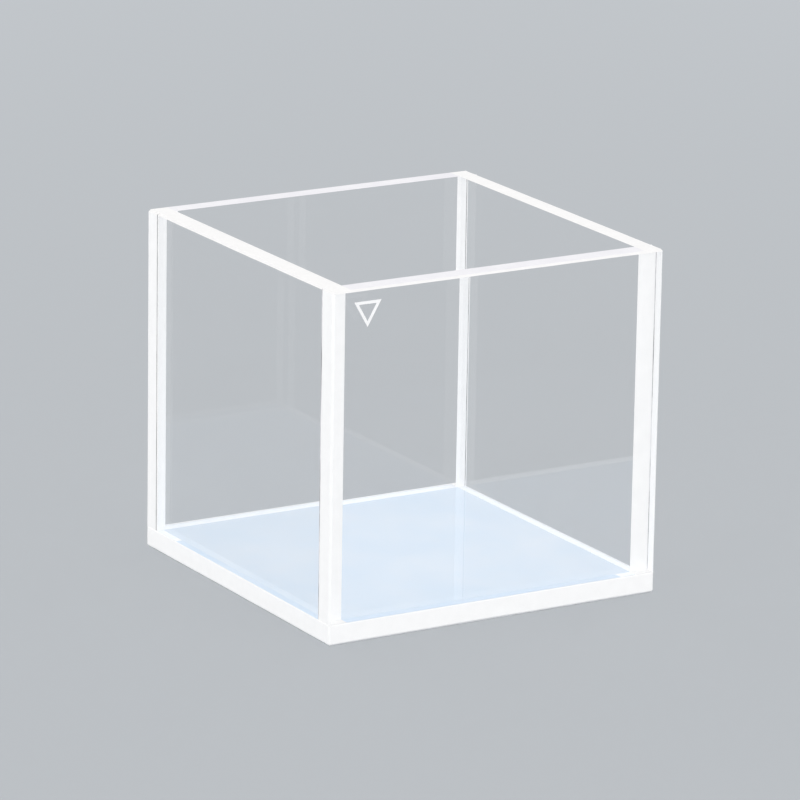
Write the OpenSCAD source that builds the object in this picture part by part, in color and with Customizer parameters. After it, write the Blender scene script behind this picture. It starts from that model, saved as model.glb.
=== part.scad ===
// Large square cuvette: an open-topped optical cell made of five flat plates of clear fused
// quartz with ground edges. The front and back walls run the full width, the side walls butt
// between them, and all four stand on a base plate as large as the whole cell.

/* [Cavity] */
// Inside width, between the two side walls
cavity_w = 40; // [15:0.5:100]
// Inside depth, between the front and back walls
cavity_d = 40; // [15:0.5:100]
// Inside height, from the base plate up to the rim
cavity_h = 40; // [15:0.5:100]

/* [Plates] */
// Thickness of the four wall plates
wall_t = 2.5; // [1:0.25:5]
// Thickness of the base plate
base_t = 2.5; // [1:0.25:5]

/* [Ground edges] */
// Chamfer along the cell's outer edges and the outside of its rim
arris = 0.25; // [0.1:0.05:0.5]
// Small edge break on each plate where two plates meet at a seam on the outside
seam_break = 0.08; // [0.02:0.02:0.2]

/* [Orientation mark] */
// Width of the etched triangle across its flat top
mark_w = 3.6; // [3:0.1:5]
// Height of the etched triangle, from its flat top down to its point
mark_h = 3.1; // [2.5:0.1:5]
// Width of the etched line
mark_line = 0.35; // [0.2:0.05:0.5]
// Depth of the etched line
mark_depth = 0.05; // [0.02:0.01:0.1]
// Distance from the cell's left edge to the triangle
mark_inset = 2.8; // [1:0.1:6]
// Distance from the rim down to the triangle
mark_drop = 1.5; // [0.5:0.1:5]

/* [Hidden] */

cell_w = cavity_w + 2 * wall_t;
cell_d = cavity_d + 2 * wall_t;
cell_h = base_t + cavity_h;
cut_clearance = 1;

// The clear glass and the base's frosted glass, as [red, green, blue, opacity]
clear_quartz = [0.88, 0.93, 0.98, 0.4];
frosted_quartz = [0.80, 0.84, 0.93, 1];

// One corner of an outline: a cut from along edge a to along edge b, or a sharp point
function broken_corner(p, a, b, cut) = cut > 0 ? [p + cut * a, p + cut * b] : [p];

// Outline of a w by h rectangle with its corners cut, anticlockwise from the one at the origin
function broken_rectangle(w, h, cuts) = concat(
    broken_corner([0, 0], [0, 1], [1, 0], cuts[0]),
    broken_corner([w, 0], [-1, 0], [0, 1], cuts[1]),
    broken_corner([w, h], [0, -1], [-1, 0], cuts[2]),
    broken_corner([0, h], [1, 0], [0, -1], cuts[3])
);

// A plate from the origin up to size, with its edges broken as drawn from above, from the
// front and from the right. Each drawing lists its four corners anticlockwise from bottom left.
module plate(size, from_above, from_front, from_right) {
    intersection() {
        linear_extrude(size.z)
            polygon(broken_rectangle(size.x, size.y, from_above));
        translate([0, size.y, 0])
            rotate([90, 0, 0])
                linear_extrude(size.y)
                    polygon(broken_rectangle(size.x, size.z, from_front));
        rotate([90, 0, 90])
            linear_extrude(size.x)
                polygon(broken_rectangle(size.y, size.z, from_right));
    }
}

// A full-width wall, as it stands at the front: its ground ends show at the cell's corners
module full_width_wall() {
    translate([-cell_w / 2, -cell_d / 2, base_t])
        plate(
            [cell_w, wall_t, cavity_h],
            [arris, arris, seam_break, seam_break],
            [seam_break, seam_break, arris, arris],
            [seam_break, 0, 0, arris]
        );
}

// A wall that butts between the full-width ones, as it stands on the left
module butted_wall() {
    translate([-cell_w / 2, -cavity_d / 2, base_t])
        plate(
            [wall_t, cavity_d, cavity_h],
            [seam_break, 0, 0, seam_break],
            [seam_break, 0, 0, arris],
            [0, 0, 0, 0]
        );
}

// A triangle with a flat top and its point down, shrunk inwards by margin on all three sides.
// The origin is the top left corner of the triangle before it is shrunk.
module triangle(margin) {
    slant = sqrt(1 + pow(mark_w / (2 * mark_h), 2));
    half_top = mark_w / 2 * (1 - margin / mark_h) - margin * slant;
    tip = mark_h * (1 - 2 * margin * slant / mark_w);
    polygon([
        [mark_w / 2 - half_top, -margin],
        [mark_w / 2, -tip],
        [mark_w / 2 + half_top, -margin]
    ]);
}

// The cutter that etches the triangle's outline into the front of the front wall
module orientation_mark() {
    translate([mark_inset - cell_w / 2, mark_depth - cell_d / 2, cell_h - mark_drop])
        rotate([90, 0, 0])
            linear_extrude(mark_depth + cut_clearance)
                difference() {
                    triangle(0);
                    triangle(mark_line);
                }
}

module front_wall() {
    color(clear_quartz)
        difference() {
            full_width_wall();
            orientation_mark();
        }
}

module back_wall() {
    color(clear_quartz)
        mirror([0, 1, 0])
            full_width_wall();
}

module left_wall() {
    color(clear_quartz)
        butted_wall();
}

module right_wall() {
    color(clear_quartz)
        mirror([1, 0, 0])
            butted_wall();
}

// The base plate: polished above, frosted below, with its ground edge showing all round
module base_plate() {
    side_view = [arris, arris, seam_break, seam_break];
    color(frosted_quartz)
        translate([-cell_w / 2, -cell_d / 2, 0])
            plate([cell_w, cell_d, base_t], [arris, arris, arris, arris], side_view, side_view);
}

front_wall();
back_wall();
left_wall();
right_wall();
base_plate();
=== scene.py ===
# %% [markdown]
# # A large square quartz cuvette
# A cuvette is a small clear vessel that holds a liquid in a beam of light. This one is made of
# five flat plates of fused quartz. Their big faces are polished until nothing shows but their
# edges. The plates' ends, the rim and the base's edge are only ground, so they scatter light
# and look white. The base is frosted underneath and looks milky.
# The looks come from three things: where each plate ends, which faces are ground, and how the
# glass bends the view of them. So the pieces are real plates of glass that are seen through
# each other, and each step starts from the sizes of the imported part.

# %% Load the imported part
import math

import bmesh
import bpy
import numpy as np
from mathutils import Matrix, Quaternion, Vector


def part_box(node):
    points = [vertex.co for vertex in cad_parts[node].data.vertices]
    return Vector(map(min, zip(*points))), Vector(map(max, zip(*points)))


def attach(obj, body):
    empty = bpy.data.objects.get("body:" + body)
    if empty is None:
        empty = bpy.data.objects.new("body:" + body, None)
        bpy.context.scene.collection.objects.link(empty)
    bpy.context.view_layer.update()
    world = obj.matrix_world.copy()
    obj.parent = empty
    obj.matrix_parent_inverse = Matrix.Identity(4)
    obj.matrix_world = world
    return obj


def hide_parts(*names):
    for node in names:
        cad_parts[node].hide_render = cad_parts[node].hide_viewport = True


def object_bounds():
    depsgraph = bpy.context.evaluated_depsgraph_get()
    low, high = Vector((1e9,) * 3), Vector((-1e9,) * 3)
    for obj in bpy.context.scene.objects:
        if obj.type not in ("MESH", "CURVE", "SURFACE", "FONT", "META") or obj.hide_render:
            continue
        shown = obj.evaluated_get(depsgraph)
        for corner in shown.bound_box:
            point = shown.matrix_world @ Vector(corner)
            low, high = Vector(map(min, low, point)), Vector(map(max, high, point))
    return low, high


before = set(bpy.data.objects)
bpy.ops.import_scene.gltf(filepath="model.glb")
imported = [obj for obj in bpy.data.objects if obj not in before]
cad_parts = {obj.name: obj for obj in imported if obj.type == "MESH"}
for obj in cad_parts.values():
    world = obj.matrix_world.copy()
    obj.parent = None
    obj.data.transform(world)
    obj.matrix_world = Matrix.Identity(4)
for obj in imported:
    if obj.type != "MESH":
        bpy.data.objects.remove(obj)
cad_low, cad_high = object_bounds()
middle = (cad_low + cad_high) / 2
print("packed part, mm:", [round(1000 * side, 2) for side in cad_high - cad_low])

# %% [markdown]
# ## Sizes that the looks depend on
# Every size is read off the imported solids: where the plates meet, the chamfers of their ground
# edges, and the groove of the small etched triangle. Nothing is typed in a second time, so the
# dressed part can't drift away from the solids.

# %% Read the sizes off the solids
# Lengths, in metres, that differ by less than tiny count as equal. Places are rounded to more
# decimals than that.
tiny = 1e-6
decimals = 7
wall_low, wall_high = (np.array(corner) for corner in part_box("front_wall"))
side_low, side_high = (np.array(corner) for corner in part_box("left_wall"))
base_low, base_high = (np.array(corner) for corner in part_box("base_plate"))
cavity_half = -np.array([side_high[0], wall_high[1]])


def solid_points(node):
    """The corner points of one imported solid, in metres, one row each."""
    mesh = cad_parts[node].data
    points = np.empty(3 * len(mesh.vertices))
    mesh.vertices.foreach_get("co", points)
    return np.unique(np.round(points.reshape(-1, 3), decimals), axis=0)


wall_points = solid_points("front_wall")
on_outside = wall_points[:, 1] < wall_low[1] + tiny
on_inside = wall_points[:, 1] > wall_high[1] - tiny
arris = wall_points[on_outside, 0].min() - wall_low[0]
seam_break = wall_points[on_inside, 0].min() - wall_low[0]
wall_thickness = side_high[0] - side_low[0]
print("inside, mm:", np.round(2000 * cavity_half, 2), "wall, mm:", round(1000 * wall_thickness, 2))
print("chamfers, mm: outer edges", round(1000 * arris, 3), "seams", round(1000 * seam_break, 3))

# %% [markdown]
# ## The camera
# A long lens two thirds of a metre away keeps the cell's edges nearly parallel. It looks
# slightly down, so that the open top and the milky base both show. The camera is placed by
# two angles and a distance from the middle of the cell, and it leans by less than a degree.

# %% Place the camera
view_azimuth = math.radians(-30.8)
view_elevation = math.radians(15.7)
view_distance = 0.68
view_lean = math.radians(0.94)
lens_millimetres = 254
# The floor is 12 m wide, and the camera sees all of it.
farthest_seen = 20


def direction(azimuth, elevation):
    """A unit vector towards an azimuth and an elevation, both in radians. Where both are 0, it
    points level to the front, at -Y."""
    level = math.cos(elevation)
    return Vector((math.sin(azimuth) * level, -math.cos(azimuth) * level, math.sin(elevation)))


camera_data = bpy.data.cameras.new("camera")
camera_data.lens = lens_millimetres
camera_data.clip_end = farthest_seen
camera = bpy.data.objects.new("camera", camera_data)
bpy.context.collection.objects.link(camera)
bpy.context.scene.camera = camera
towards_camera = direction(view_azimuth, view_elevation)
camera.location = middle + view_distance * towards_camera
camera.rotation_mode = "QUATERNION"
camera.rotation_quaternion = towards_camera.to_track_quat("Z", "Y") @ Quaternion((0, 0, 1), view_lean)
print("camera at, mm:", [round(1000 * x) for x in camera.location])

# %% [markdown]
# ## Light and floor
# Clear glass is seen by what it reflects and bends, and ground glass by the light it catches.
# So the light is soft and comes from all round: a pale room, and four low softboxes that lift
# the ground faces on each side. The softboxes light only what scatters light. The glass
# doesn't mirror them, because a bright oblong in the polished base would hide the milky field
# under it. The floor is one pale colour, a shade darker than the white edges, so that they
# stand out on it. A ray may pass many faces of glass before it meets the floor, so it is
# given enough bounces to get there.


# %% Two helpers for materials
def new_material(name):
    """An empty node material: the material, its tree, and the socket that takes the finished
    surface."""
    material = bpy.data.materials.new(name)
    material.use_nodes = True
    material.node_tree.nodes.clear()
    output = material.node_tree.nodes.new("ShaderNodeOutputMaterial")
    return material, material.node_tree, output.inputs["Surface"]


def add_node(tree, kind, settings=None, **inputs):
    """A new node. settings are its own properties. inputs are socket names, with _ for a space,
    and each is a value or the output socket that it is linked from."""
    node = tree.nodes.new(kind)
    for name, value in (settings or {}).items():
        setattr(node, name, value)
    for name, value in inputs.items():
        socket = node.inputs[name.replace("_", " ")]
        if isinstance(value, bpy.types.NodeSocket):
            tree.links.new(value, socket)
        else:
            socket.default_value = value
    return node


# %% A pale floor
floor_colour = (0.465, 0.49, 0.515, 1)
floor_half = 6.0
# The floor lies this far under the base, because no two faces may be in one place.
floor_gap = 0.00002
square = np.array([(-1, -1), (1, -1), (1, 1), (-1, 1)])
floor_corners = np.column_stack([floor_half * square, np.full(len(square), -floor_gap)])
floor_mesh = bpy.data.meshes.new("floor")
floor_mesh.from_pydata(floor_corners, [], [range(len(square))])
floor = bpy.data.objects.new("floor", floor_mesh)
bpy.context.collection.objects.link(floor)
floor_material, tree, surface = new_material("pale_floor")
paint = add_node(tree, "ShaderNodeBsdfDiffuse", Color=floor_colour)
tree.links.new(paint.outputs[0], surface)
floor_mesh.materials.append(floor_material)
print("floor, m:", [2 * floor_half, 2 * floor_half], "finish:", floor_material.name)

# %% A pale room
room_colour = (0.995, 0.99, 0.99, 1)
room_strength = 0.838
world = bpy.data.worlds.new("pale_room")
bpy.context.scene.world = world
world.use_nodes = True
world.node_tree.nodes["Background"].inputs["Color"].default_value = room_colour
world.node_tree.nodes["Background"].inputs["Strength"].default_value = room_strength
bpy.context.scene.view_settings.view_transform = "Standard"
print("room strength:", room_strength)

# %% Enough bounces for glass behind glass
# A ray may pass this many faces, be mirrored half as often, and be scattered six times.
passes = 32
cycles = bpy.context.scene.cycles
cycles.max_bounces = passes
cycles.transmission_bounces = passes
cycles.transparent_max_bounces = passes
cycles.glossy_bounces = passes // 2
cycles.diffuse_bounces = 6
print("faces of glass that one ray may pass:", passes)


# %% Four softboxes, one for each side
def softbox(name, azimuth, elevation, distance, width, height, watts):
    """An oblong area lamp that faces the cell, placed by two angles in degrees and a distance.
    It lights what scatters light, and isn't seen itself, straight on, mirrored or through glass."""
    data = bpy.data.lights.new(name, "AREA")
    data.shape = "RECTANGLE"
    data.size = width
    data.size_y = height
    data.energy = watts
    lamp = bpy.data.objects.new(name, data)
    bpy.context.collection.objects.link(lamp)
    way = direction(math.radians(azimuth), math.radians(elevation))
    lamp.location = middle + distance * way
    lamp.rotation_mode = "QUATERNION"
    lamp.rotation_quaternion = way.to_track_quat("Z", "Y")
    lamp.visible_camera = False
    lamp.visible_glossy = False
    lamp.visible_transmission = False
    print(name, "at, mm:", [round(1000 * x) for x in lamp.location])


# They stand a quarter turn apart, each 15 degrees off square to its side of the cell.
for name, azimuth in (("left", -75), ("front", 15), ("right", 105), ("back", 195)):
    softbox(f"softbox_{name}", azimuth, elevation=12, distance=0.75, width=0.6, height=0.3, watts=1.7)

# %% [markdown]
# ## Finish: ground quartz
# A ground face is covered in tiny pits, and scatters the light that meets it. Seen close, it
# is a fine white grain with slightly denser patches. The grain and the patches are one node
# group, because the ground ends, the etched mark and the frosted base all have them, each at
# its own scale. The group gives out only numbers, and each material uses them in its own way.


# %% The grain of ground quartz, as a node group
def grain_group():
    """A node group that gives a fine pitted grain and soft, broad patches, both from 0 to 1.
    The grain is the distance to the nearest pit times a noise of three octaves. The patches are
    a noise of five octaves, each 0.65 as strong as the one before, with the middle of its
    range, 0.3 to 0.7, spread over 0 to 1. Sizes are in metres."""
    group = bpy.data.node_groups.new("ground_grain", "ShaderNodeTree")
    for name in ("Pit Size", "Patch Size"):
        group.interface.new_socket(name, in_out="INPUT", socket_type="NodeSocketFloat")
    for name in ("Grain", "Patches"):
        group.interface.new_socket(name, in_out="OUTPUT", socket_type="NodeSocketFloat")
    given = group.nodes.new("NodeGroupInput")
    result = group.nodes.new("NodeGroupOutput")
    place = add_node(group, "ShaderNodeTexCoord").outputs["Object"]
    scales = {}
    for name in ("Pit Size", "Patch Size"):
        per_metre = add_node(group, "ShaderNodeMath", {"operation": "DIVIDE"})
        per_metre.inputs[0].default_value = 1
        group.links.new(given.outputs[name], per_metre.inputs[1])
        scales[name] = per_metre.outputs[0]
    pits = add_node(group, "ShaderNodeTexVoronoi", Vector=place, Scale=scales["Pit Size"])
    powder = add_node(group, "ShaderNodeTexNoise", Vector=place, Scale=scales["Pit Size"], Detail=3.0)
    grain = add_node(group, "ShaderNodeMath", {"operation": "MULTIPLY"})
    group.links.new(pits.outputs["Distance"], grain.inputs[0])
    group.links.new(powder.outputs[0], grain.inputs[1])
    group.links.new(grain.outputs[0], result.inputs["Grain"])
    clouds = add_node(
        group,
        "ShaderNodeTexNoise",
        Vector=place,
        Scale=scales["Patch Size"],
        Detail=5.0,
        Roughness=0.65,
    )
    spread = add_node(
        group,
        "ShaderNodeMapRange",
        Value=clouds.outputs[0],
        From_Min=0.3,
        From_Max=0.7,
    )
    group.links.new(spread.outputs[0], result.inputs["Patches"])
    return group


ground_grain = grain_group()
print("node group:", ground_grain.name)


# %% [markdown]
# ## Light that goes by
# Light is carried along inside a clear plate until it meets a ground face, and so the ground
# ends glow, inside the glass as well as outside it. A renderer finds few of those paths,
# because each of them bends at every polished face. The glass here therefore bends the view
# only, and light that only lights things goes straight on through it. Light Path tells the two
# apart. Diffuse Depth is 0 until a ray meets something that scatters it, and Is Shadow Ray
# marks a ray that looks for a lamp. Ground quartz is thin frosting on clear glass and passes
# most of the light too, and only the milky base stops it all, so that it keeps its shadow.


# %% Let light by
quartz_index = 1.458


def let_light_by(tree, shader, surface, share):
    """Lead a shader to a surface, and put Transparent in its place, by this share, for rays
    that have been scattered once and for rays that look for a lamp."""
    light_path = add_node(tree, "ShaderNodeLightPath")
    on_its_way = add_node(tree, "ShaderNodeMath", {"operation": "MAXIMUM"})
    tree.links.new(light_path.outputs["Diffuse Depth"], on_its_way.inputs[0])
    tree.links.new(light_path.outputs["Is Shadow Ray"], on_its_way.inputs[1])
    passing = add_node(tree, "ShaderNodeMapRange", Value=on_its_way.outputs[0], To_Max=share)
    mix = add_node(tree, "ShaderNodeMixShader", Fac=passing.outputs[0])
    tree.links.new(shader.outputs[0], mix.inputs[1])
    tree.links.new(add_node(tree, "ShaderNodeBsdfTransparent").outputs[0], mix.inputs[2])
    tree.links.new(mix.outputs[0], surface)


# %% A ground finish, made from the grain
def colour_between(tree, share, start, end):
    """The output socket of a colour that runs from start to end as share runs from 0 to 1."""
    mix = add_node(tree, "ShaderNodeMix", {"data_type": "RGBA"}, Factor=share)
    colour_sockets = [socket for socket in mix.inputs if socket.type == "RGBA"]
    for socket, colour in zip(colour_sockets, (start, end)):
        socket.default_value = colour
    return next(socket for socket in mix.outputs if socket.type == "RGBA")


rough_spread = 0.1
relief_strength = 0.6


def ground_material(
    name, dense, thin, patch_size, rough, pit_size=0.00012, pit_depth=0.00001, passing=0.8
):
    """A ground finish. Its colour runs from thin to dense with the patches, and its roughness
    and its relief follow the grain. Of the light that only lights things, the share `passing`
    goes by. The pits are about an eighth of a millimetre wide and a hundredth deep, unless the
    finish says otherwise."""
    material, tree, surface = new_material(name)
    grain = tree.nodes.new("ShaderNodeGroup")
    grain.node_tree = ground_grain
    grain.inputs["Pit Size"].default_value = pit_size
    grain.inputs["Patch Size"].default_value = patch_size
    roughness = add_node(
        tree,
        "ShaderNodeMapRange",
        Value=grain.outputs["Grain"],
        To_Min=rough - rough_spread,
        To_Max=rough + rough_spread,
    )
    relief = add_node(
        tree,
        "ShaderNodeBump",
        Height=grain.outputs["Grain"],
        Strength=relief_strength,
        Distance=pit_depth,
    )
    ground = add_node(
        tree,
        "ShaderNodeBsdfPrincipled",
        Base_Color=colour_between(tree, grain.outputs["Patches"], thin, dense),
        Roughness=roughness.outputs[0],
        Normal=relief.outputs[0],
        IOR=quartz_index,
    )
    let_light_by(tree, ground, surface, passing)
    return material


# %% [markdown]
# ## Seven finishes from one grain
# The same grinding is coloured differently from place to place. The ends and most chamfers are the
# whitest. The rim of a full-width wall has painted shade: it is coloured a little greyer and bluer,
# because the glass under it is clear and sends less light back. The chamfers along the rim catch
# the most light, so they are painted a shade darker, to end up as white as the rest. The hairline
# groove at a seam carries a painted shadow: at a back seam it is dark in stretches, and at a front
# seam, where the groove is nearly filled, it is paler and dark only in stretches. The etched line
# is finer than grinding, and the frosted underside is the milky blue field that one looks down on.

# %% Ground ends, rims and chamfers
finishes = {}
finishes["ground"] = ground_material(
    "ground_quartz",
    dense=(0.98, 0.978, 0.975, 1),
    thin=(0.942, 0.94, 0.937, 1),
    patch_size=0.0015,
    rough=0.55,
)
# Painted shade: the rim of a full-width wall is coloured greyer and bluer than the ends, because the
# clear glass under it sends less light back.
finishes["rim"] = ground_material(
    "ground_rim_painted_shade",
    dense=(0.925, 0.92, 0.95, 1),
    thin=(0.855, 0.85, 0.895, 1),
    patch_size=0.004,
    rough=0.55,
)
# Painted shade: the chamfers along the rim are coloured darker than the ends, to cancel the extra light
# that they catch.
finishes["rim_chamfer"] = ground_material(
    "rim_chamfer",
    dense=(0.9, 0.895, 0.89, 1),
    thin=(0.86, 0.855, 0.85, 1),
    patch_size=0.0015,
    rough=0.5,
)
print("ground finishes:", sorted(finishes))

# %% Seams, etching and frosting
# Painted shadow: the groove at a back seam is coloured from light grey to nearly black, in patches, for
# the shadow in it.
finishes["seam"] = ground_material(
    "seam_painted_shadow",
    dense=(0.65, 0.64, 0.64, 1),
    thin=(0.04, 0.04, 0.045, 1),
    patch_size=0.008,
    rough=0.7,
    pit_size=0.00008,
    pit_depth=0.000008,
)
# Painted shadow, in stretches: the nearly filled groove at a front seam is coloured from white to dark
# grey, in patches.
finishes["filled_seam"] = ground_material(
    "filled_seam",
    dense=(0.92, 0.91, 0.93, 1),
    thin=(0.2, 0.19, 0.21, 1),
    patch_size=0.008,
    rough=0.6,
    pit_size=0.00008,
    pit_depth=0.000008,
)
finishes["etched"] = ground_material(
    "etched_quartz",
    dense=(0.97, 0.97, 0.97, 1),
    thin=(0.92, 0.92, 0.92, 1),
    patch_size=0.001,
    rough=0.6,
    pit_size=0.00006,
    pit_depth=0.000006,
)
finishes["frosted"] = ground_material(
    "frosted_quartz",
    dense=(0.765, 0.865, 0.985, 1),
    thin=(0.665, 0.81, 0.97, 1),
    patch_size=0.012,
    rough=0.6,
    pit_size=0.00015,
    passing=0.0,
)
print("all the ground finishes:", sorted(finishes))

# %% [markdown]
# ## Finish: polished quartz and the fused joints
# Polished quartz is clear and colourless, with an index of 1.458. Wiping leaves the faintest
# haze, so the roughness moves between nothing and very little. Where a wall is fused to the
# base there is glass on both sides and nothing to reflect: the view goes straight on. A glass
# with an index of 1 does just that, because it bends nothing and mirrors nothing.

# %% Polished quartz, and the joint that light doesn't notice
joint_index = 1.0
haziest = 0.02
clear = (1, 1, 1, 1)
milky = (0.98, 0.985, 0.99, 1)
filmed = (0.985, 0.985, 0.985, 1)
patches_per_metre = 300
wipes_per_metre = (60, 60, 260)


def clear_joint():
    """Glass that neither bends nor mirrors, with the faint milky patches of a fused joint.
    The patches are a noise of three octaves."""
    material, tree, surface = new_material("fused_joint")
    place = add_node(tree, "ShaderNodeTexCoord").outputs["Object"]
    patches = add_node(tree, "ShaderNodeTexNoise", Vector=place, Scale=patches_per_metre, Detail=3.0)
    joint = add_node(
        tree,
        "ShaderNodeBsdfPrincipled",
        Base_Color=colour_between(tree, patches.outputs[0], clear, milky),
        Roughness=0.0,
        IOR=joint_index,
        Transmission_Weight=1.0,
    )
    let_light_by(tree, joint, surface, share=1.0)
    return material


def clear_quartz():
    """Clear glass whose roughness runs from 0 to haziest along streaks of wiping. The streaks
    are a noise of four octaves, stretched level and bent a little. The haze begins where that
    noise passes 0.45, and it is full at 0.8, so most of the face stays clear."""
    material, tree, surface = new_material("polished_quartz")
    place = add_node(tree, "ShaderNodeTexCoord").outputs["Object"]
    streaks = add_node(tree, "ShaderNodeMapping", Vector=place, Scale=wipes_per_metre)
    wipes = add_node(
        tree,
        "ShaderNodeTexNoise",
        Vector=streaks.outputs[0],
        Scale=1.0,
        Detail=4.0,
        Distortion=0.6,
    )
    haze = add_node(
        tree,
        "ShaderNodeMapRange",
        Value=wipes.outputs[0],
        From_Min=0.45,
        From_Max=0.8,
        To_Min=0.0,
        To_Max=haziest,
    )
    quartz = add_node(
        tree,
        "ShaderNodeBsdfPrincipled",
        Base_Color=colour_between(tree, wipes.outputs[0], clear, filmed),
        Roughness=haze.outputs[0],
        IOR=quartz_index,
        Transmission_Weight=1.0,
    )
    let_light_by(tree, quartz, surface, share=1.0)
    return material


finishes["polished"] = clear_quartz()
finishes["fused"] = clear_joint()
print("all finishes:", sorted(finishes))

# %% [markdown]
# ## The shape of a ground plate
# A plate is a flat box whose edges are broken with a narrow chamfer: wide on the outer edges,
# hardly there at the seams, and none inside. A Bevel modifier would give every edge the same
# width. Here each edge has its own, and it wavers a little, because edges are broken by hand.
# So the plate is worked out as six flat grids, one for each face. Each stops short of the
# box's edges by the width of the chamfer there, and strips join each grid to the next.


# %% Chamfers, from three drawings of the plate
def chamfers(from_above, from_front, from_right):
    """The chamfer of each of the twelve edges, keyed by the axis that the edge runs along and
    its side, 0 low or 1 high, of the next axis and of the one after.
    Each drawing of the plate lists its four corners anticlockwise from bottom left."""
    cuts = {}
    for corner, (across, up) in enumerate(((0, 0), (1, 0), (1, 1), (0, 1))):
        cuts[2, across, up] = from_above[corner]
        cuts[1, up, across] = from_front[corner]
        cuts[0, across, up] = from_right[corner]
    return cuts


def wavered(cut, line, seed):
    """The width of one chamfer at each point of a grid line along it: the cut, give or take a tenth.
    The change is a sum of three sine waves, with 1, 3 and 7 periods, at seeded phases."""
    along = (line - line[0]) / (line[-1] - line[0])
    periods = np.array([1, 3, 7])
    shares = np.array([0.05, 0.03, 0.02])
    phases = np.random.default_rng(seed).uniform(0, 2 * np.pi, 3)
    return cut * (1 + np.sin(2 * np.pi * periods * along[:, None] + phases) @ shares)


# %% A plate as six grids, twelve chamfers and eight corners
def face_grids(lines, cuts, seed):
    """The grid of each face, keyed by its axis, a, and its side. Point (i, j) of a face lies on
    line i of the next axis, b, and line j of the one after, c, and border rows move in by their
    edge's chamfer. As an index, -side is the first place for side 0 and the last for side 1."""
    width = {key: wavered(cut, lines[key[0]], (seed, *key)) for key, cut in cuts.items()}
    grids = {}
    for a in range(3):
        b, c = (a + 1) % 3, (a + 2) % 3
        for side in (0, 1):
            grid = np.empty((len(lines[b]), len(lines[c]), 3))
            grid[..., a] = lines[a][-side]
            grid[..., b] = lines[b][:, None]
            grid[..., c] = lines[c]
            grid[0, :, b] += width[c, side, 0]
            grid[-1, :, b] -= width[c, side, 1]
            grid[:, 0, c] += width[b, 0, side]
            grid[:, -1, c] -= width[b, 1, side]
            grids[a, side] = grid
    return grids


def quads_of(numbers):
    """The quads between the neighbours in a grid of point numbers."""
    around = (numbers[:-1, :-1], numbers[1:, :-1], numbers[1:, 1:], numbers[:-1, 1:])
    return np.stack([corner.ravel() for corner in around], axis=1)


def plate(lines, cuts, seed):
    """The points, quads and corner triangles of a closed plate. Each chamfer is a strip of quads
    between the border rows of two faces, side s of one axis and side t of the next. Each corner
    is a triangle between three faces, on sides s, t and u of the three axes."""
    grids = face_grids(lines, cuts, seed)
    points = np.concatenate([grid.reshape(-1, 3) for grid in grids.values()])
    numbers, quads, count = {}, [], 0
    for key, grid in grids.items():
        numbers[key] = count + np.arange(grid[..., 0].size).reshape(grid.shape[:2])
        quads.append(quads_of(numbers[key]))
        count += grid[..., 0].size
    for a, s, t in np.ndindex(3, 2, 2):
        b = (a + 1) % 3
        quads.append(quads_of(np.stack([numbers[a, s][-t], numbers[b, t][:, -s]])))
    triangles = [
        [numbers[0, s][-t, -u], numbers[1, t][-u, -s], numbers[2, u][-s, -t]]
        for s, t, u in np.ndindex(2, 2, 2)
    ]
    return points, np.concatenate(quads), np.array(triangles)


# %% From loose faces to a closed mesh
merge_distance = 1e-7


def closed_mesh(name, points, quads, triangles):
    """A mesh whose coinciding points are merged and whose vanished faces are gone, with the
    faces turned outwards. A chamfer of no width leaves such faces."""
    mesh = bpy.data.meshes.new(name)
    mesh.from_pydata(points, [], quads.tolist() + triangles.tolist())
    work = bmesh.new()
    work.from_mesh(mesh)
    bmesh.ops.remove_doubles(work, verts=work.verts, dist=merge_distance)
    bmesh.ops.recalc_face_normals(work, faces=work.faces)
    open_edges = sum(not edge.is_manifold for edge in work.edges)
    volume = work.calc_volume(signed=True)
    work.to_mesh(mesh)
    work.free()
    print(name, "faces:", len(mesh.polygons), "open edges:", open_edges, "mm3:", round(1e9 * volume, 1))
    return mesh


def grid_line(low, high, stops=(), spacing=0.00125):
    """Places along one axis from low to high: every stop, and even steps between them, none
    longer than the spacing. With this one, a plate has two cells across its thickness."""
    ends = np.unique(np.round([low, *stops, high], decimals))
    steps = np.ceil(np.diff(ends) / spacing - tiny).astype(int)
    runs = [np.linspace(a, b, n, endpoint=False) for a, b, n in zip(ends, ends[1:], steps)]
    return np.append(np.concatenate(runs), ends[-1])


# %% [markdown]
# ## Which face has which finish
# A wall is polished on its two big faces and ground on its ends, its rim and its chamfers, and
# its foot is fused to the base. A full-width wall covers the ends of the side walls. Each such
# end is bonded flat against it, so nothing is seen of the glass between them: the ground end
# shows through the wall as a second white band beside the first. The covering strip itself
# carries that finish here, because a strip and an end in one place would fight for each ray.
# The outside of each joint between an end and a side wall is a hairline groove, coloured with a
# painted shadow: dark in stretches at the back, and paler at the front, where the groove is nearly
# filled. At the back the joint has also spread a little, so that a narrow white strip runs beside it on
# both plates.


# %% Give each face its finish
def face_places(mesh):
    """The centre and the normal of each face, one row each."""
    tables = []
    for what in ("center", "normal"):
        table = np.empty(3 * len(mesh.polygons))
        mesh.polygons.foreach_get(what, table)
        tables.append(table.reshape(-1, 3))
    return tables


def give_finish(mesh, names):
    """One material slot for each finish in use, and each face's slot from its finish's name."""
    used = np.unique(names)
    for name in used:
        mesh.materials.append(finishes[name])
    mesh.polygons.foreach_set("material_index", np.searchsorted(used, names))
    counts = {str(name): int((names == name).sum()) for name in used}
    print(mesh.name, counts)


# %% Which finish a wall's face has
# A face is square to an axis where its normal has this much of it, and leans towards the axis
# where its normal has more than half of it. A chamfer leans towards two axes.
flat = 0.999
leaning = 0.5


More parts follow.
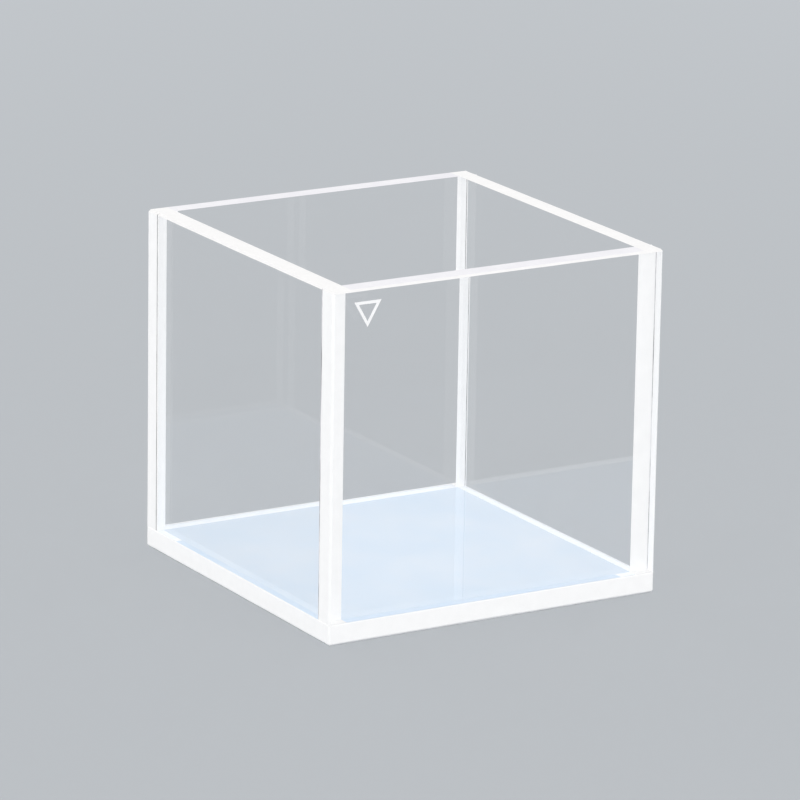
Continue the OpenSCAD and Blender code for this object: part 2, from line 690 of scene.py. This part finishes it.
def wall_finishes(mesh):
    """The finish of each face of a wall, as it stands on any of the four sides. The first rule
    that a face meets gives its finish, and what meets none is ground too."""
    centre, normal = face_places(mesh)
    thin_axis = np.argmin(np.ptp(centre, axis=0))
    big = np.abs(normal[:, thin_axis]) > flat
    facing_in = normal[:, thin_axis] * centre[:, thin_axis] < 0
    beside_cavity = np.abs(centre[:, 0]) > cavity_half[0] + tiny
    slanted = np.all(np.abs(normal[:, :2]) > leaning, axis=1)
    at_seam = slanted & (np.abs(centre[:, 1]) < cavity_half[1] + seam_break + tiny)
    # The rim, the rim's chamfers and the seam grooves get finishes whose colours carry painted shade
    # and painted shadow.
    rules = {
        "fused": normal[:, 2] < -flat,
        "ground": big & facing_in & beside_cavity,
        "polished": big,
        "filled_seam": at_seam & (centre[:, 1] < 0),
        "seam": at_seam,
        "rim": (normal[:, 2] > flat) & ~beside_cavity & (thin_axis == 1),
        "rim_chamfer": (normal[:, 2] > leaning) & (normal[:, 2] < flat),
    }
    return np.select(list(rules.values()), list(rules), "ground")


# %% [markdown]
# ## The etched triangle
# A cuvette has a small mark near the rim of one face, so that it always goes into the holder
# the same way round. Here it is the outline of a triangle, etched a twentieth of a millimetre
# deep. A texture could paint it, but a real groove catches light along its edge and stays
# sharp at any distance. Its corners come from the solid. An oblong of the wall's front face
# round the triangle, the window, is left out, and rings of points lead from the window's
# border to the triangle, down into the groove, across it, up again, and in to the middle.

# %% Read the triangle off the solid
over_cavity = np.abs(wall_points[:, 0]) < cavity_half[0]
below_face = (wall_points[:, 1] > wall_low[1] + tiny) & (wall_points[:, 1] < wall_high[1] - tiny)
groove_floor = wall_points[over_cavity & below_face]
groove_depth = groove_floor[0, 1] - wall_low[1]
# From the lowest corner up, and from left to right where two are as high, as (x, z).
by_height = groove_floor[np.lexsort((groove_floor[:, 0], groove_floor[:, 2]))][:, [0, 2]]
outer_tip, inner_tip, inner_left, inner_right, outer_left, outer_right = by_height
outer_triangle = np.array([outer_left, outer_right, outer_tip])
inner_triangle = np.array([inner_left, inner_right, inner_tip])
# The window reaches this far past the triangle.
window_margin = 0.0005
window_low = outer_triangle.min(axis=0) - window_margin
window_high = outer_triangle.max(axis=0) + window_margin
triangle_size = np.ptp(outer_triangle, axis=0)
print("triangle, mm:", np.round(1000 * triangle_size, 2), "deep:", round(1000 * groove_depth, 3))


# %% Rings from the window's border to the triangle's middle
def in_window(places):
    """Whether each of these places, as (x, y, z), lies within the window, seen from the front."""
    seen = places[:, [0, 2]]
    return np.all((seen > window_low) & (seen < window_high), axis=1)


def share_along(path):
    """How far along a path each of its points lies, from 0 to 1, by length."""
    steps = np.hypot(*np.diff(path, axis=0).T)
    return np.append(0, np.cumsum(steps)) / steps.sum()


def mark_rings(x_line, z_line):
    """Points and quads of the mark. The window's border is cut into three legs, one for each side
    of the triangle, and each border point has its partner at the same share of that side. Each
    ring uses its first point again to close."""
    across = x_line[(x_line > window_low[0] - tiny) & (x_line < window_high[0] + tiny)]
    up = z_line[(z_line > window_low[1] - tiny) & (z_line < window_high[1] + tiny)]
    top, bottom = ([[x, z] for x in across] for z in (up[-1], up[0]))
    left, right = ([[x, z] for z in up] for x in (across[0], across[-1]))
    to_tip = np.searchsorted(across, outer_tip[0] - tiny)
    legs = [top, right[:0:-1] + bottom[:to_tip - 1:-1], bottom[to_tip:0:-1] + left]
    window = np.concatenate([np.array(leg)[:-1] for leg in legs])

    def triangle_ring(corners):
        """A ring round a triangle. From corner a to corner b, a point is a + share * (b - a)."""
        sides = zip(corners, np.roll(corners, -1, axis=0), legs)
        runs = [a + (b - a) * share_along(np.array(leg))[:-1, None] for a, b, leg in sides]
        return np.concatenate(runs)

    outer, inner = triangle_ring(outer_triangle), triangle_ring(inner_triangle)
    centre = np.broadcast_to(inner_triangle.mean(axis=0), inner.shape)
    flat_rings = np.stack([window, outer, outer, inner, inner, centre])
    depths = groove_depth * np.array([0, 0, 1, 1, 0, 0])
    points = np.empty((*flat_rings.shape[:2], 3))
    points[..., [0, 2]] = flat_rings
    points[..., 1] = wall_low[1] + depths[:, None]
    numbers = np.arange(points[..., 0].size).reshape(points.shape[:2])
    return points.reshape(-1, 3), quads_of(np.column_stack([numbers, numbers[:, :1]]))


# %% [markdown]
# ## The full-width walls
# The front and back walls run the full width, so their ground ends show at the cell's corners.
# Both are the same plate: outer edges with the wide chamfer, seams with the narrow one. The
# back wall is the mirror image of the front one, without the mark, and its chamfers waver in
# their own way. Each foot stays a hundredth of a millimetre above the base. A ray that meets
# two faces in one place can't tell which comes first, and would turn up black.

# %% Front wall
full_width_chamfers = chamfers(
    from_above=(arris, arris, seam_break, seam_break),
    from_front=(seam_break, seam_break, arris, arris),
    from_right=(seam_break, 0, 0, arris),
)
cavity_stops = (-cavity_half[0], cavity_half[0])
joint_gap = 0.00001
mark_stops = (window_low[0], outer_tip[0], window_high[0])
x_line = grid_line(wall_low[0], wall_high[0], (*cavity_stops, *mark_stops))
y_line = grid_line(wall_low[1], wall_high[1])
z_line = grid_line(wall_low[2] + joint_gap, wall_high[2], (window_low[1], window_high[1]))
points, quads, triangles = plate((x_line, y_line, z_line), full_width_chamfers, seed=1)
quad_centres = points[quads].mean(axis=1)
on_face = quad_centres[:, 1] < wall_low[1] + tiny
quads = quads[~(on_face & in_window(quad_centres))]
mark_points, mark_quads = mark_rings(x_line, z_line)
quads = np.concatenate([quads, len(points) + mark_quads])
front_mesh = closed_mesh("front_wall_glass", np.concatenate([points, mark_points]), quads, triangles)
finish_names = wall_finishes(front_mesh)
centre, _ = face_places(front_mesh)
in_groove = (centre[:, 1] > wall_low[1] + tiny) & (centre[:, 1] < wall_low[1] + 2 * groove_depth)
finish_names[in_window(centre) & in_groove] = "etched"
give_finish(front_mesh, finish_names)

# %% Back wall
# How far the joint has spread past the side wall's end, onto both plates.
joint_spread = 0.00028
spread_from = cavity_half - joint_spread
x_line = grid_line(wall_low[0], wall_high[0], (*cavity_stops, -spread_from[0], spread_from[0]))
z_line = grid_line(wall_low[2] + joint_gap, wall_high[2])
points, quads, triangles = plate((x_line, y_line, z_line), full_width_chamfers, seed=2)
back_mesh = closed_mesh("back_wall_glass", points * (1, -1, 1), quads, triangles)
finish_names = wall_finishes(back_mesh)
centre, normal = face_places(back_mesh)
finish_names[(normal[:, 1] < -flat) & (np.abs(centre[:, 0]) > spread_from[0])] = "ground"
give_finish(back_mesh, finish_names)

# %% [markdown]
# ## The side walls
# The side walls stand between the full-width ones, and their ground ends butt against them.
# Each end stays the same hundredth of a millimetre short of the other plate.

# %% Left and right walls
def side_finishes(mesh):
    """The finish of each face of a side wall, with the spread joint outside its back end."""
    names = wall_finishes(mesh)
    centre, normal = face_places(mesh)
    faces_out = normal[:, 0] * centre[:, 0] > 0
    names[faces_out & (names == "polished") & (centre[:, 1] > spread_from[1])] = "ground"
    return names


butted_chamfers = chamfers(
    from_above=(seam_break, 0, 0, seam_break),
    from_front=(seam_break, 0, 0, arris),
    from_right=(0, 0, 0, 0),
)
x_line = grid_line(side_low[0], side_high[0])
y_line = grid_line(side_low[1] + joint_gap, side_high[1] - joint_gap, (spread_from[1],))
z_line = grid_line(side_low[2] + joint_gap, side_high[2])
points, quads, triangles = plate((x_line, y_line, z_line), butted_chamfers, seed=3)
left_mesh = closed_mesh("left_wall_glass", points, quads, triangles)
give_finish(left_mesh, side_finishes(left_mesh))
points, quads, triangles = plate((x_line, y_line, z_line), butted_chamfers, seed=4)
right_mesh = closed_mesh("right_wall_glass", points * (-1, 1, 1), quads, triangles)
give_finish(right_mesh, side_finishes(right_mesh))

# %% [markdown]
# ## The base plate
# The base is as wide as the whole cell, and the walls stand on it. Its top is polished where
# the cavity shows it and fused under the walls. Its four edges are ground, and its underside
# is frosted: that is the milky field one sees through the clear top.

# %% Base plate
base_side = (arris, arris, seam_break, seam_break)
base_chamfers = chamfers(
    from_above=(arris, arris, arris, arris),
    from_front=base_side,
    from_right=base_side,
)
x_line = grid_line(base_low[0], base_high[0], cavity_stops)
y_line = grid_line(base_low[1], base_high[1], (-cavity_half[1], cavity_half[1]))
z_line = grid_line(base_low[2], base_high[2])
points, quads, triangles = plate((x_line, y_line, z_line), base_chamfers, seed=5)
base_mesh = closed_mesh("base_plate_glass", points, quads, triangles)
centre, normal = face_places(base_mesh)
top = normal[:, 2] > flat
beside_cavity = np.abs(centre[:, :2]) > cavity_half
rules = {
    "frosted": normal[:, 2] < -flat,
    "ground": top & np.all(beside_cavity, axis=1),
    "fused": top & np.any(beside_cavity, axis=1),
    "polished": top,
}
give_finish(base_mesh, np.select(list(rules.values()), list(rules), "ground"))

# %% [markdown]
# ## Tie the pieces to the frame
# Each glass plate stands for the imported solid of the same shape, which is hidden, and rides
# on the root body.

# %% Ride and replace
plates = {
    "front_wall": (front_mesh, "clear_quartz"),
    "back_wall": (back_mesh, "clear_quartz"),
    "left_wall": (left_mesh, "clear_quartz"),
    "right_wall": (right_mesh, "clear_quartz"),
    "base_plate": (base_mesh, "frosted_quartz"),
}
for node, (mesh, slot) in plates.items():
    piece = bpy.data.objects.new(mesh.name, mesh)
    bpy.context.collection.objects.link(piece)
    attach(piece, "root")
    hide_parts(node)
    print(piece.name, "replaces", node, "as", slot)
